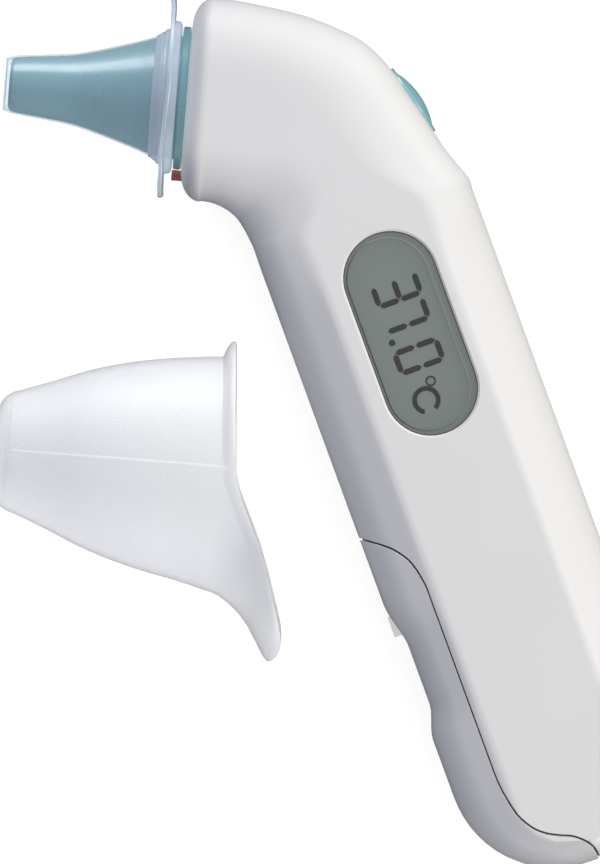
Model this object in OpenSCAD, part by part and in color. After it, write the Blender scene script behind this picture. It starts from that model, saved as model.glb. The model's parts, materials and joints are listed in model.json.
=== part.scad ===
// Infrared ear thermometer lying on its side, display up, with its loose probe cap beside it.
// Frame: millimetres, +Z out of the display side, origin on the rest side under the display centre.
// The handle frame has +X towards the back of the handle and +Y towards the head.

/* [Housing] */
// Thickness of the housing from the rest side to the display side
body_thick = 31.5; // [31:0.1:32.5]
// Wall thickness of the two shells and the battery cover
wall = 2; // [1.8:0.1:2.2]
// Tilt of the handle away from the upright
handle_tilt = 20.1; // [19.8:0.1:20.4]
// Length of the handle below the display centre
handle_len = 84.5; // [84:0.1:85]
// Gap along the seam between the shells and the battery cover
seam_gap = 0.2; // [0.15:0.05:0.3]

/* [Probe] */
// Upward tilt of the probe and of the loose cap
probe_tilt = 4.6; // [4:0.1:5]
// Distance from the nose face to the tip of the probe cover
probe_reach = 27.8; // [27:0.1:28.5]
// Radius of the probe cover's round flange
flange_r = 15.4; // [14.5:0.1:15.5]
// Radius of the nose around the probe
nose_r = 15.4; // [15:0.1:15.6]

/* [Display] */
// Width of the display window across the handle
window_w = 14.3; // [13.5:0.1:14.6]
// Length of the display window along the handle
window_l = 32; // [31:0.1:32.4]
// Height of the digits
digit_h = 6.6; // [6:0.1:7]

/* [Controls] */
// Radius of the start button
button_r = 5.8; // [5.4:0.1:6]
// How far the crown of the start button stands proud
button_rise = 1.5; // [1:0.1:1.8]
// Length of the battery latch's travel
latch_travel = 2; // [1.5:0.1:2.2]

/* [Cap] */
// Wall thickness of the loose protective cap
cap_wall = 1.4; // [1.2:0.1:1.6]
// Outer radius of the cap at its rim
cap_r = 17; // [16.8:0.1:17.2]

/* [Hidden] */
$fn = 64;

mid_z = body_thick / 2;
// Where the probe axis meets the nose face
nose_at = [-33.9, 35.8];
// Centre of the start button on the back of the bend
button_at = [0.3, 35.45];
// Direction in which the start button faces
button_turn = 34.5;
// Centre of the loose cap's rim
cap_at = [-26.4, -20.5];

// Handle outline, in the handle frame: inner side, back side and bottom end
inner_x = -17.9;
back_x = 16.4;
end_corner_r = 16;
// Flat sides of the handle: half width, centre and the rounding that ends them
flat_half = 9.4;
flat_x = -0.5;
flat_end = 81.2;
flat_corner_r = 9.2;
// Height of the straight part of the inner side and back, above the middle plane
side_flat = 7;
// Finger hollow in the battery cover
hollow_depth = 1.4;
hollow_from = 37.2;
hollow_full = 44.7;
hollow_fade = 53.8;
hollow_to = 59.4;

// Nose edge: a quarter ellipse from the front face to the side
nose_edge_r = 4.4;
nose_edge_l = 3;
nozzle_hole_r = 9.2;
// Shares of the nose's rounded square section that are flat towards the inner side, flat towards
// the back, and straight, and the power of its corners; near the nozzle hole it is nearly round
round_flat = 0.06;
nose_flat = [0.5, 0.3];
nose_side = 0.3;
nose_power = 0.8;
// The same shares at the end of the bend, and how much less is flat half way along it
bend_flat = [0.55, 0.55];
bend_side = 0.44;
bend_dip = [0.35, 0.2];
// Handle corner from the side to the flat, as [across, up] fractions: a steep round, then a slope
// that meets the flat in a crease
crease = [[1, 0], [0.957, 0.214], [0.84, 0.42], [0.665, 0.61], [0.45, 0.762], [0, 1]];
// How much of the crease there is at the end of the bend, and where along the handle it is full
crease_start = 0.6;
crease_full = -7;

// Bend of the housing: matching points on its inner and outer contour, from the nose to the handle
bend = [
    [[-31.6, 20.25], [-26, 50.5]],
    [[-30.2, 20], [-20.5, 49.4]],
    [[-28.9, 19.5], [-15.5, 48.1]],
    [[-27.8, 18.9], [-10.7, 46.2]],
    [[-26.9, 18.2], [-6.7, 44]],
    [[-26.2, 17.5], [-3.2, 40.5]],
    [[-25.6, 16.6], [-0.1, 36]],
    [[-25, 15.6], [3.5, 30.8]],
    [[-24.5, 14.6], [5.2, 28.2]],
    [[-24, 13.6], [7.2, 25.7]],
    [[-23.6, 12.6], [8.9, 23.6]]
];
// Stations of the battery cover's shape along the handle, and of the whole handle
cover_steps = [
    22, 30, 37.2, 39.7, 42.2, 44.7, 53.8, 55.2, 56.6, 58, 59.4, 68.5, 71.5, 74, 76, 77.8, 79.4,
    80.5, 81.2, 82.4, 83.3, 84, 84.5
];
handle_steps = concat(
    [-17, -14.5, -12, -9.5, crease_full, 10],
    [for (k = [1 : len(cover_steps) - 1]) cover_steps[k]]
);

// Seam of the battery cover in the handle frame, from the inner side down to the bottom end
seam = [
    [-20, -25.6], [-17.5, -27.1], [-16.1, -28.1], [-14.9, -29], [-13.8, -30], [-12.8, -31.3],
    [-12.1, -32.5], [-11.6, -34], [-11.3, -35.5], [-11.1, -37.2], [-11.1, -66], [-11, -69],
    [-10.7, -71], [-10, -74], [-8.6, -76.5], [-7, -78], [-5.2, -79], [-3.4, -79.8], [-2.1, -80.8],
    [-1.1, -82], [-0.6, -83.4], [-0.5, -86]
];

// Probe cover sleeve: distance from the tip and outer radius
sleeve = [
    [0, 4.1], [2, 4.5], [6.5, 5], [10.5, 5.5], [14.5, 6.5], [18.5, 7.7], [21, 8.5], [23, 9.2], [27, 9.7]
];
// Detector pin beside the probe
pin_y = 11.8;
pin_r = 0.8;
sleeve_wall = 0.35;
film_t = 0.2;
flange_z = 2.6;
flange_t = 0.8;
cover_z = [4.8, 6.8, 9.3, 13.3, 17.3, 21.3, 25.8];
hub_r = 11.6;
hub_z = 1.45;

// Display stack, heights above the rest side
board_z = 23.4;
board_t = 1.2;
glass_z = 26.9;
glass_t = 1.6;
glass_w = 16.4;
glass_l = 33.8;
segments_t = 0.15;
window_flange_z = 28.7;
window_flange_t = 0.8;
window_recess = 0.15;
window_play = 0.1;
// Moulded frame that holds the glass, and the pink strips that join the glass to the board
lcd_frame_w = 18.6;
lcd_frame_l = 36.4;
lcd_frame_hole = [16.6, 34];
strip_x = [-7.9, 6.5];
strip_w = 1.4;
strip_l = 32;
// Main board and the parts on it
board_w = 17;
board_l = 79.5;
board_y = -62;
chip_w = 10;
chip_t = 1.4;
chip_legs = 7;
leg_pitch = 1.3;
leg_w = 0.5;
buzzer_y = -26;
buzzer_r = 6;
buzzer_h = 3;

// Digits: width, bar width, the gap at the ends of a bar, and the bar ends as [across, up] shares
digit_w = digit_h * 0.48;
bar_w = digit_h * 0.13;
bar_gap = 0.1;
bar_ends = [
    [[0, 1], [1, 1]], [[1, 1], [1, 0.5]], [[1, 0.5], [1, 0]], [[0, 0], [1, 0]], [[0, 0], [0, 0.5]],
    [[0, 0.5], [0, 1]], [[0, 0.5], [1, 0.5]]
];
// Start button behind its dome, and its switch; depths are below the bend's surface
button_skirt = 3.4;
button_flange = 4.4;
button_flange_t = 1.1;
plunger_r = 1.6;
plunger_depth = 7.4;
plunger_l = 3;
switch_depth = 10.5;
switch_w = 6;
switch_h = 4;
button_board_size = [14, 12, 1.1];

// Probe inside its cover: nozzle bores, waveguide and sensor, depths behind the nose face
nozzle_foot = [[0, -4.3], [10.3, -4.3], [10.3, -2.4], [8.9, -2.4], [8.9, 0.1], [10.9, 0.1], [10.9, 1.3]];
nozzle_steps = [1.3, 4, 7, 10, 13, 16, 19, 22, 24.5];
nozzle_play = 0.6;
bore_r = 2.6;
tip_seat_r = 3.05;
sensor_seat_r = 6.1;
guide_r = 2.4;
guide_bore_r = 2;
can_r = 2.35;
can_foot_r = 2.7;
block_from = -13;
block_l = 10.6;
sensor_board_r = 7;
flex_w = 9;
// Flat flex as seen from above, and its thickness
flex_path = [[-19.5, 32.4], [-16.5, 31.6], [-13.2, 29], [-10.6, 25.5], [-9, 21.5], [-7.9, 18.6]];
flex_t = [0.12, 0.28];

// Coin cells under the battery cover
cell_r = 10;
cell_t = 3.2;
cell_x = -13.2;
cell_y = [-43.6, -64.1];
cell_step = 0.6;
cell_edge = 0.4;
tray_y = -75;
tray = [3.7, 42.6, 22.8];
contact_t = 0.4;

// Battery latch: sliding plate, its thumb nub and the slot it shows through
cover_wall = wall - 0.2;
latch_x = -14.55;
latch_t = 1.1;
latch_w = 10;
nub_x = -18;
nub_y = -39.3;
nub_l = 3.2;
nub_w = 6;
slot_play = 0.2;
// Hooks at the cover's lower end
hook = [8.5, 1.8, 4];
hook_at = [-7, -82.2];
hook_z = 7;

// Case screws: places in the frame
screw_at = [[-14.5, 38.5], [19.6, -22.8], [34.6, -64]];
screw_r = 1;
screw_head_r = 2;
screw_l = 19;
screw_head_h = 1.4;
screw_slot = 0.5;
boss_r = 2.8;

// Loose cap: outer radius of the round funnel against the distance from its rim plane
funnel = [
    [-10, 17.4], [0, 17], [4, 16.8], [8, 16.4], [13, 15.7], [18, 14.7], [23, 13.3], [28, 11.4],
    [32, 9.9], [36.5, 8.2]
];
// Extra radius of the flared tongue against the same distance
flare = [
    [-9, 11.5], [-7, 11.2], [-5.2, 9], [-3.2, 6], [-1, 3.9], [1.4, 2.4], [4, 1.8], [8, 1.2],
    [13, 0.9], [18, 0.6], [28, 0.1], [36, 0]
];
cap_len = 36.5;
// Steps around and along the cap
cap_turns = 36;
cap_levels = [0, 0.12, 0.25, 0.4, 0.55, 0.7, 0.85, 1];
// How far the tongue reaches past the rim plane, and how much its tip falls back
tongue_reach = 10.2;
tongue_notch = 3.2;
// The lip is a round disc set off-centre, so that it fades out at the sides
lip_r = 17.4;
lip_shift = 2.1;

// ---- helpers ----
function mix(a, b, t) = a + (b - a) * t;
function smooth(t) = let (k = max(0, min(1, t))) k * k * (3 - 2 * k);
function turn(p, a) = [p[0] * cos(a) - p[1] * sin(a), p[0] * sin(a) + p[1] * cos(a)];
function toward(a) = [cos(a), sin(a)];

module at_handle(x = 0, y = 0, z = 0) {
    rotate([0, 0, handle_tilt]) translate([x, y, z]) children();
}

module at_probe(z = 0) {
    translate([nose_at[0], nose_at[1], mid_z])
        rotate([0, 0, 180 - probe_tilt]) rotate([0, 90, 0]) translate([0, 0, z]) children();
}

module at_button(z = 0) {
    translate([button_at[0], button_at[1], mid_z])
        rotate([0, 0, button_turn]) rotate([0, 90, 0]) translate([0, 0, z]) children();
}

module at_cap() {
    translate([cap_at[0], cap_at[1], lip_r + 0.05])
        rotate([0, 0, 180 - probe_tilt]) rotate([0, 90, 0]) children();
}

module stadium(w, l) {
    translate([0, (l - w) / 2]) circle(d = w);
    translate([0, (w - l) / 2]) circle(d = w);
    square([w, l - w], center = true);
}

// ---- housing surface ----
// A station is [inner point, back point, half thickness, flat from, flat to, straight side, power,
// share]: the flat and the straight side are fractions of the half width and half thickness, and
// the share turns the corner between them from a round of that power at 0 to the crease at 1.
function nose_station(depth, r) =
    let (
        c = nose_at + depth * toward(-probe_tilt), n = toward(90 - probe_tilt),
        k = smooth((r - nozzle_hole_r) / (nose_r - nozzle_hole_r)),
        f = mix([round_flat, round_flat], nose_flat, k)
    )
    [c - r * n, c + r * n, r, -f[0], f[1], mix(round_flat, nose_side, k), mix(1, nose_power, k), 0];

function nose_stations(inset) = concat(
    [nose_station(inset, nozzle_hole_r)],
    [for (a = [0 : 30 : 90])
        nose_station(
            inset + (nose_edge_l - inset / 2) * (1 - cos(a)),
            nose_r - nose_edge_r + (nose_edge_r - inset) * sin(a))]
);

function bend_station(k, inset) =
    let (
        a = bend[k][0], b = bend[k][1], d = (b - a) / norm(b - a),
        t = smooth((k + 1) / (len(bend) + 1)),
        f = mix(nose_flat, bend_flat, t) - 6.75 * t * t * (1 - t) * bend_dip
    )
    [a + inset * d, b - inset * d, mix(nose_r, mid_z, t) - inset, -f[0], f[1],
        mix(nose_side, bend_side, t), nose_power, crease_start * t * t];

function hollow(y) = hollow_depth
    * smooth((y - hollow_from) / (hollow_full - hollow_from))
    * smooth((hollow_to - y) / (hollow_to - hollow_fade));

function handle_station(y, inset) =
    let (
        c = (inner_x + back_x) / 2, half = (back_x - inner_x) / 2,
        corner_y = handle_len - end_corner_r, end_l = handle_len - flat_end - inset,
        v = y < flat_end ? y : flat_end + (y - flat_end) * end_l / (end_l + inset),
        over = max(0, v - corner_y), corner = end_corner_r - inset,
        w = half - end_corner_r + sqrt(max(0, corner * corner - over * over)),
        fall = max(0, v - flat_end) / end_l, drop = mid_z - side_flat - 0.75 - inset,
        t = mid_z - inset - drop * (1 - sqrt(max(0, 1 - fall * fall))),
        flat_over = max(0, min(v, flat_end) - flat_end + flat_corner_r),
        fw = flat_half - flat_corner_r + sqrt(flat_corner_r * flat_corner_r - flat_over * flat_over),
        in_x = c - w + hollow(v), out_x = c + w, m = (in_x + out_x) / 2, hw = (out_x - in_x) / 2,
        lo = max(-0.9, (flat_x - min(fw, 0.9 * hw) - m) / hw),
        hi = min(0.9, (flat_x + min(fw, 0.9 * hw) - m) / hw)
    )
    [turn([in_x, -v], handle_tilt), turn([out_x, -v], handle_tilt), t, lo, hi,
        min(0.92, side_flat / t), nose_power,
        mix(crease_start, 1, smooth((y - handle_steps[0]) / (crease_full - handle_steps[0])))];

function stations(inset) = concat(
    nose_stations(inset),
    [for (k = [0 : len(bend) - 1]) bend_station(k, inset)],
    [for (y = handle_steps) handle_station(y, inset)]
);

corner_steps = len(crease) - 1;
// Point k of a corner, from the side up to the flat
function corner(k, power, share) =
    let (a = 90 * k / corner_steps)
    mix([pow(cos(a), power), pow(sin(a), power)], crease[k], share);
// Half section from the inner side over the flat side to the back, as [across, up] fractions
function half_section(s) = concat(
    [[-1, 0]],
    [for (k = [0 : corner_steps])
        let (c = corner(k, s[6], s[7])) [s[3] - (1 + s[3]) * c[0], s[5] + (1 - s[5]) * c[1]]],
    [for (k = [corner_steps : -1 : 0])
        let (c = corner(k, s[6], s[7])) [s[4] + (1 - s[4]) * c[0], s[5] + (1 - s[5]) * c[1]]],
    [[1, 0]]
);

// Points of one half section in space; side is 1 towards the display, -1 towards the rest side
function half_ring(s, side) =
    let (c = (s[0] + s[1]) / 2, h = (s[1] - s[0]) / 2)
    [for (p = half_section(s))
        [c[0] + h[0] * p[0], c[1] + h[1] * p[0], mid_z + side * s[2] * p[1]]];

function grid_faces(rows, cols, base, flip) = [
    for (i = [0 : rows - 2]) for (j = [0 : cols - 2])
        let (a = base + i * cols + j, b = a + 1, c = a + cols, d = c + 1)
        each flip ? [[a, b, d], [a, d, c]] : [[a, d, b], [a, c, d]]
];

// One half of the hollow housing, as a single closed skin
module half_shell(side) {
    outer = stations(0);
    inner = stations(wall);
    rows = len(outer);
    cols = 2 * corner_steps + 4;
    n = rows * cols;
    points = concat(
        [for (s = outer) each half_ring(s, side)],
        [for (s = inner) each half_ring(s, side)]
    );
    flip = side > 0;
    last = (rows - 1) * cols;
    rims = [
        for (j = [0, cols - 1]) for (i = [0 : rows - 2])
            let (a = i * cols + j, c = a + cols, out = (j == 0) == flip)
            each out ? [[a, c, c + n], [a, c + n, a + n]] : [[a, c + n, c], [a, a + n, c + n]]
    ];
    front = [
        for (j = [0 : cols - 2])
            each flip ? [[j, j + n, j + 1 + n], [j, j + 1 + n, j + 1]]
                : [[j, j + 1 + n, j + n], [j, j + 1, j + 1 + n]]
    ];
    end_out = [for (j = [0 : cols - 1]) last + j];
    end_in = [for (j = [cols - 1 : -1 : 0]) last + n + j];
    end_rim = [last, last + cols - 1, last + cols - 1 + n, last + n];
    ends = [for (f = [end_out, end_in, end_rim]) flip ? f : [for (k = [len(f) - 1 : -1 : 0]) f[k]]];
    polyhedron(points = points, faces = concat(
        grid_faces(rows, cols, 0, flip), grid_faces(rows, cols, n, !flip), rims, front, ends
    ));
}

// Prism through the housing on the cover's side of the seam, its edge moved by shift
module cover_side(shift) {
    at_handle(shift, shift, -1) linear_extrude(body_thick + 2)
        polygon(concat(seam, [[-0.5, -100], [-60, -100], [-60, -25.6]]));
}

module screw_boss(at, from, to) {
    translate([at[0], at[1], from]) cylinder(r = boss_r, h = to - from);
}

module window_hole() {
    at_handle(0, 0, body_thick - wall - 1) linear_extrude(wall + 2) stadium(window_w, window_l);
}

module button_hole() {
    at_button(-8) cylinder(r = button_r + 0.3, h = 12);
}

module pin_hole() {
    at_probe(-3) translate([0, pin_y, 0]) cylinder(r = pin_r + 0.15, h = 6);
}

module display_shell() {
    color("whitesmoke") difference() {
        union() {
            half_shell(1);
            for (p = screw_at) screw_boss(p, mid_z + 0.05, body_thick - 3);
        }
        cover_side(seam_gap);
        window_hole();
        button_hole();
        pin_hole();
        for (p = screw_at) translate([p[0], p[1], 0]) cylinder(r = screw_r + 0.05, h = 24);
    }
}

module rest_shell() {
    color("whitesmoke") difference() {
        union() {
            half_shell(-1);
            for (p = screw_at) screw_boss(p, 3, mid_z - 0.05);
        }
        cover_side(seam_gap);
        button_hole();
        pin_hole();
        for (p = screw_at) {
            translate([p[0], p[1], -1]) cylinder(r = screw_r + 0.1, h = mid_z + 2);
            translate([p[0], p[1], -1]) cylinder(r = screw_head_r + 0.2, h = 4.6);
        }
    }
}

// ---- battery cover and its latch ----
// A full closed ring around the handle, display side first
function full_ring(s) = let (a = half_ring(s, 1), b = half_ring(s, -1), n = len(a))
    concat([for (k = [1 : n - 2]) a[k]], [for (k = [n - 2 : -1 : 1]) b[k]]);

module handle_plug(inset, steps) {
    rings = [for (y = steps) full_ring(handle_station(y, inset))];
    cols = len(rings[0]);
    rows = len(rings);
    sides = [
        for (i = [0 : rows - 2]) for (j = [0 : cols - 1])
            let (a = i * cols + j, b = i * cols + (j + 1) % cols, c = a + cols, d = b + cols)
            each [[a, b, d], [a, d, c]]
    ];
    polyhedron(points = [for (r = rings) each r], faces = concat(
        sides, [[for (j = [cols - 1 : -1 : 0]) j]], [[for (j = [0 : cols - 1]) (rows - 1) * cols + j]]
    ));
}

module cover_hook(z) {
    at_handle(hook_at[0], hook_at[1], z - hook[2] / 2) cube(hook);
}

module battery_cover() {
    slot_l = nub_l + latch_travel + 2 * slot_play + 0.1;
    slot_w = nub_w + 2 * slot_play;
    color("whitesmoke") difference() {
        union() {
            intersection() {
                difference() {
                    handle_plug(0, cover_steps);
                    handle_plug(cover_wall, concat([20], cover_steps));
                }
                cover_side(0);
            }
            for (z = [mid_z - hook_z, mid_z + hook_z]) cover_hook(z);
        }
        at_handle(-20, nub_y + slot_play - slot_l, mid_z - slot_w / 2) cube([6, slot_l, slot_w]);
    }
}

module battery_latch() {
    color("whitesmoke") union() {
        at_handle(latch_x, -46, mid_z - latch_w / 2) cube([latch_t, 17.6, latch_w]);
        at_handle(latch_x - 1, -31, mid_z - latch_w / 2) cube([1.1, 2.6, latch_w]);
        at_handle(nub_x, nub_y - nub_l, mid_z - nub_w / 2) cube([latch_x - nub_x + 0.1, nub_l, nub_w]);
    }
}

// ---- display ----
module display_window() {
    top = window_flange_z + window_flange_t;
    color("lightslategray") at_handle() union() {
        translate([0, 0, top]) linear_extrude(body_thick - window_recess - top)
            stadium(window_w - window_play, window_l - window_play);
        translate([0, 0, window_flange_z]) linear_extrude(window_flange_t)
            stadium(window_w + 2 * window_flange_t, window_l + 2 * window_flange_t);
    }
}

// One bar of a digit: a six-sided strip with pointed ends
module bar(from, to, w) {
    d = to - from;
    n = norm(d);
    a = atan2(d[1], d[0]);
    translate(from) rotate(a)
        polygon([[0, 0], [w / 2, w / 2], [n - w / 2, w / 2], [n, 0], [n - w / 2, -w / 2], [w / 2, -w / 2]]);
}

// Bars are numbered top, upper right, lower right, bottom, lower left, upper left, middle
module digit(bars) {
    for (k = bars) {
        a = [bar_ends[k][0][0] * digit_w, bar_ends[k][0][1] * digit_h];
        b = [bar_ends[k][1][0] * digit_w, bar_ends[k][1][1] * digit_h];
        d = (b - a) / norm(b - a);
        bar(a + bar_gap * d, b - bar_gap * d, bar_w);
    }
}

module lcd_segments() {
    three = [0, 1, 2, 3, 6];
    seven = [0, 1, 2];
    zero = [0, 1, 2, 3, 4, 5];
    dot_r = 0.5;
    ring_r = 0.8;
    ring_w = 0.27;
    letter_r = 2.15;
    letter_w = 0.72;
    color("dimgray") at_handle(0, 0, glass_z + glass_t) rotate([0, 0, -90])
        linear_extrude(segments_t) {
            translate([-8.5, -3]) digit(three);
            translate([-4.5, -3.2]) digit(seven);
            translate([0.4, -3.1]) circle(r = dot_r);
            translate([2.1, -3.3]) digit(zero);
            translate([7.8, 0.4]) difference() {
                circle(r = ring_r);
                circle(r = ring_r - ring_w);
            }
            translate([10.3, -1.2]) difference() {
                circle(r = letter_r);
                circle(r = letter_r - letter_w);
                polygon([[0, 0], [3, 1.6], [3, -1.6]]);
            }
        }
}

module lcd_glass() {
    color("darkseagreen") at_handle(-glass_w / 2, -glass_l / 2, glass_z) cube([glass_w, glass_l, glass_t]);
}

module lcd_frame() {
    h = window_flange_z - 0.1 - board_z - board_t;
    color("ivory") at_handle(0, 0, board_z + board_t) linear_extrude(h) difference() {
        square([lcd_frame_w, lcd_frame_l], center = true);
        square(lcd_frame_hole, center = true);
    }
}

module contact_strips() {
    color("pink") for (x = strip_x)
        at_handle(x, -strip_l / 2, board_z + board_t) cube([strip_w, strip_l, glass_z - board_z - board_t]);
}

// ---- electronics ----
module main_board() {
    color("darkgreen") difference() {
        at_handle(-board_w / 2, board_y, board_z) cube([board_w, board_l, board_t]);
        for (p = screw_at) translate([p[0], p[1], board_z - 1]) cylinder(r = boss_r + 0.3, h = board_t + 2);
    }
}

module microcontroller() {
    first = (chip_w - (chip_legs - 1) * leg_pitch - leg_w) / 2;
    color("black") at_handle(-chip_w / 2, -chip_w, board_z - chip_t) union() {
        cube([chip_w, chip_w, chip_t]);
        for (k = [0 : chip_legs - 1])
            translate([-1, first + k * leg_pitch, chip_t - leg_w]) cube([chip_w + 2, leg_w, leg_w]);
    }
}

module buzzer() {
    color("goldenrod") at_handle(0, buzzer_y, board_z - buzzer_h) difference() {
        cylinder(r = buzzer_r, h = buzzer_h);
        translate([0, 0, -1]) cylinder(r = 1, h = 2);
    }
}

module start_button() {
    sphere_r = (button_r * button_r + button_rise * button_rise) / (2 * button_rise);
    color("paleturquoise") at_button() union() {
        intersection() {
            translate([0, 0, button_rise - sphere_r]) sphere(r = sphere_r, $fn = 96);
            translate([0, 0, -1]) cylinder(r = button_r, h = 4);
        }
        translate([0, 0, -button_skirt]) cylinder(r = button_r, h = button_skirt - 0.4);
        translate([0, 0, -button_flange]) cylinder(r = button_r + 1, h = button_flange_t);
    }
}

module switch_plunger() {
    color("black") at_button(-plunger_depth) cylinder(r = plunger_r, h = plunger_l);
}

module button_switch() {
    color("silver") at_button(-switch_depth) difference() {
        translate([-switch_w / 2, -switch_w / 2, 0]) cube([switch_w, switch_w, switch_h]);
        translate([0, 0, 1]) cylinder(r = plunger_r + 0.15, h = switch_h);
    }
}

module button_board() {
    color("darkgreen") at_button(-switch_depth - button_board_size[2])
        translate([-button_board_size[0] / 2, -button_board_size[1] / 2, 0]) cube(button_board_size);
}

// ---- probe ----
function sleeve_at(z) = lookup(probe_reach - z, sleeve);

module probe_nozzle() {
    tip = probe_reach - 1.1;
    color("cadetblue") at_probe() difference() {
        rotate_extrude() polygon(concat(
            nozzle_foot,
            [for (z = nozzle_steps) [sleeve_at(z) - nozzle_play, z]],
            [[sleeve_at(tip - nozzle_play) - nozzle_play, tip - nozzle_play],
                [sleeve_at(tip) - 2 * nozzle_play, tip], [0, tip]]
        ));
        translate([0, 0, -5]) cylinder(r = bore_r, h = 40);
        translate([0, 0, tip - 0.45]) cylinder(r = tip_seat_r, h = 1);
        translate([0, 0, -5]) cylinder(r = sensor_seat_r, h = 2.7);
    }
}

module probe_window() {
    color("dimgray") at_probe(probe_reach - 1.55) cylinder(r = 3, h = 0.35);
}

module waveguide() {
    color("gold") at_probe(-5) difference() {
        cylinder(r = guide_r, h = probe_reach + 3.4);
        translate([0, 0, -1]) cylinder(r = guide_bore_r, h = 50);
    }
}

module sensor_can() {
    color("silver") at_probe() union() {
        translate([0, 0, -8.4]) cylinder(r = can_r, h = 3.3);
        translate([0, 0, -9]) cylinder(r = can_foot_r, h = 0.6);
    }
}

module sensor_block() {
    color("darkkhaki") at_probe() difference() {
        translate([0, 0, block_from]) cylinder(r = sensor_seat_r - 0.1, h = block_l);
        translate([0, 0, -9.2]) cylinder(r = can_foot_r + 0.1, h = 10);
        translate([0, 0, block_from - 1]) cylinder(r = 1.5, h = 6);
    }
}

module sensor_board() {
    color("darkgreen") at_probe(block_from - 1.1) cylinder(r = sensor_board_r, h = 1);
}

// Flat flex from the sensor board to the main board, standing on edge across the middle plane
module sensor_flex() {
    color("orange") translate([0, 0, board_z - flex_w]) linear_extrude(flex_w)
        polygon(concat(flex_path, [for (k = [len(flex_path) - 1 : -1 : 0]) flex_path[k] + flex_t]));
}

module detector_pin() {
    color("brown") at_probe() translate([0, pin_y, 0]) union() {
        translate([0, 0, -3.6]) cylinder(r = pin_r, h = 3.6 + hub_z - 0.05);
        translate([0, 0, -4.4]) cylinder(r = pin_r + 0.5, h = 0.9);
    }
}

module detector_switch() {
    color("black") at_probe(-9) translate([-3, pin_y - 2, 0]) cube([6, 3.6, 3]);
}

// ---- power ----
module battery_tray() {
    color("gainsboro") at_handle(0, 0, mid_z) difference() {
        translate([cell_x + cell_t - 2.4, tray_y, -tray[2] / 2]) cube(tray);
        for (y = cell_y)
            translate([cell_x - 1, y, 0]) rotate([0, 90, 0]) cylinder(r = cell_r + 0.15, h = cell_t + 1.4);
    }
}

module coin_cell(y) {
    color("silver") at_handle(cell_x, y, mid_z) rotate([0, 90, 0]) rotate_extrude()
        polygon([
            [0, 0], [cell_r - cell_edge, 0], [cell_r, cell_edge], [cell_r, cell_t - cell_step],
            [cell_r - 2 * cell_step, cell_t - cell_step], [cell_r - 2 * cell_step, cell_t], [0, cell_t]
        ]);
}

module upper_battery() {
    coin_cell(cell_y[0]);
}

module lower_battery() {
    coin_cell(cell_y[1]);
}

module battery_contacts() {
    color("gold") for (y = cell_y)
        at_handle(cell_x + cell_t, y - 3, mid_z - 2) cube([contact_t, 6, 4]);
}

module case_screws() {
    color("silver") for (p = screw_at) translate([p[0], p[1], 3.6]) difference() {
        union() {
            cylinder(r = screw_r, h = screw_l);
            translate([0, 0, -screw_head_h]) cylinder(r = screw_head_r, h = screw_head_h);
        }
        for (a = [0, 90]) rotate([0, 0, a])
            translate([-1.3, -screw_slot / 2, -screw_head_h - 0.4]) cube([2.6, screw_slot, 1]);
    }
}

// ---- probe cover ----
module probe_cover() {
    z0 = flange_z + flange_t;
    top = probe_reach - film_t;
    color("lightcyan", 0.6) at_probe() rotate_extrude() polygon(concat(
        [[sleeve_at(hub_z) - sleeve_wall, hub_z], [hub_r, hub_z], [hub_r, flange_z],
            [flange_r, flange_z], [flange_r, z0]],
        [for (z = concat([z0], cover_z, [top])) [sleeve_at(z), z]],
        [for (k = [len(cover_z) : -1 : 0])
            let (z = concat(cover_z, [top])[k]) [sleeve_at(z) - sleeve_wall, z]]
    ));
}

module filter_film() {
    color("white", 0.5) at_probe(probe_reach - film_t) cylinder(r = 4.1, h = film_t);
}

// ---- loose cap ----
function tongue(a) = pow(max(0, -cos(a)), 2);
function rim_z(a) = a <= 90 || a >= 270 ? 1.4 * cos(a)
    : -tongue_reach * pow(-cos(a), 1.5) + tongue_notch * exp(-pow((180 - a) / 14, 2));
function cap_point(z, a, inset) =
    let (r = lookup(z, funnel) + tongue(a) * lookup(z, flare) - inset) [r * sin(a), -r * cos(a), z];

module cap_body() {
    angles = [for (k = [0 : cap_turns - 1]) 360 * k / cap_turns];
    outer = [for (s = cap_levels) for (a = angles) cap_point(mix(rim_z(a), cap_len, s), a, 0)];
    inner = [
        for (s = cap_levels) for (a = angles)
            cap_point(mix(rim_z(a), cap_len - cap_wall, s), a, cap_wall)
    ];
    n = len(outer);
    m = cap_turns;
    rows = len(cap_levels);
    wall_faces = [
        for (i = [0 : rows - 2]) for (j = [0 : m - 1])
            let (a = i * m + j, b = i * m + (j + 1) % m, c = a + m, d = b + m)
            each [[a, d, b], [a, c, d], [a + n, b + n, d + n], [a + n, d + n, c + n]]
    ];
    rim_faces = [
        for (j = [0 : m - 1]) let (b = (j + 1) % m) each [[j, b, b + n], [j, b + n, j + n]]
    ];
    top = (rows - 1) * m;
    ends = [[for (j = [0 : m - 1]) top + m - 1 - j], [for (j = [0 : m - 1]) n + top + j]];
    polyhedron(points = concat(outer, inner), faces = concat(wall_faces, rim_faces, ends));
}

module cap_lip() {
    difference() {
        translate([0, -lip_shift, 0.2]) cylinder(r = lip_r, h = 1.3);
        translate([0, 0, -1]) cylinder(r = cap_r - 0.7, h = 4);
        translate([-30, 4, -1]) cube([60, 30, 4]);
    }
}

module protective_cap() {
    color("aliceblue", 0.7) at_cap() union() {
        cap_body();
        cap_lip();
    }
}

display_shell();
rest_shell();
battery_cover();
battery_latch();
display_window();
lcd_segments();
lcd_glass();
lcd_frame();
contact_strips();
main_board();
microcontroller();
buzzer();
start_button();
switch_plunger();
button_switch();
button_board();
probe_nozzle();
probe_window();
waveguide();
sensor_can();
sensor_block();
sensor_board();
sensor_flex();
detector_pin();
detector_switch();
battery_tray();
upper_battery();
lower_battery();
battery_contacts();
case_screws();
probe_cover();
filter_film();
protective_cap();
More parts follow.
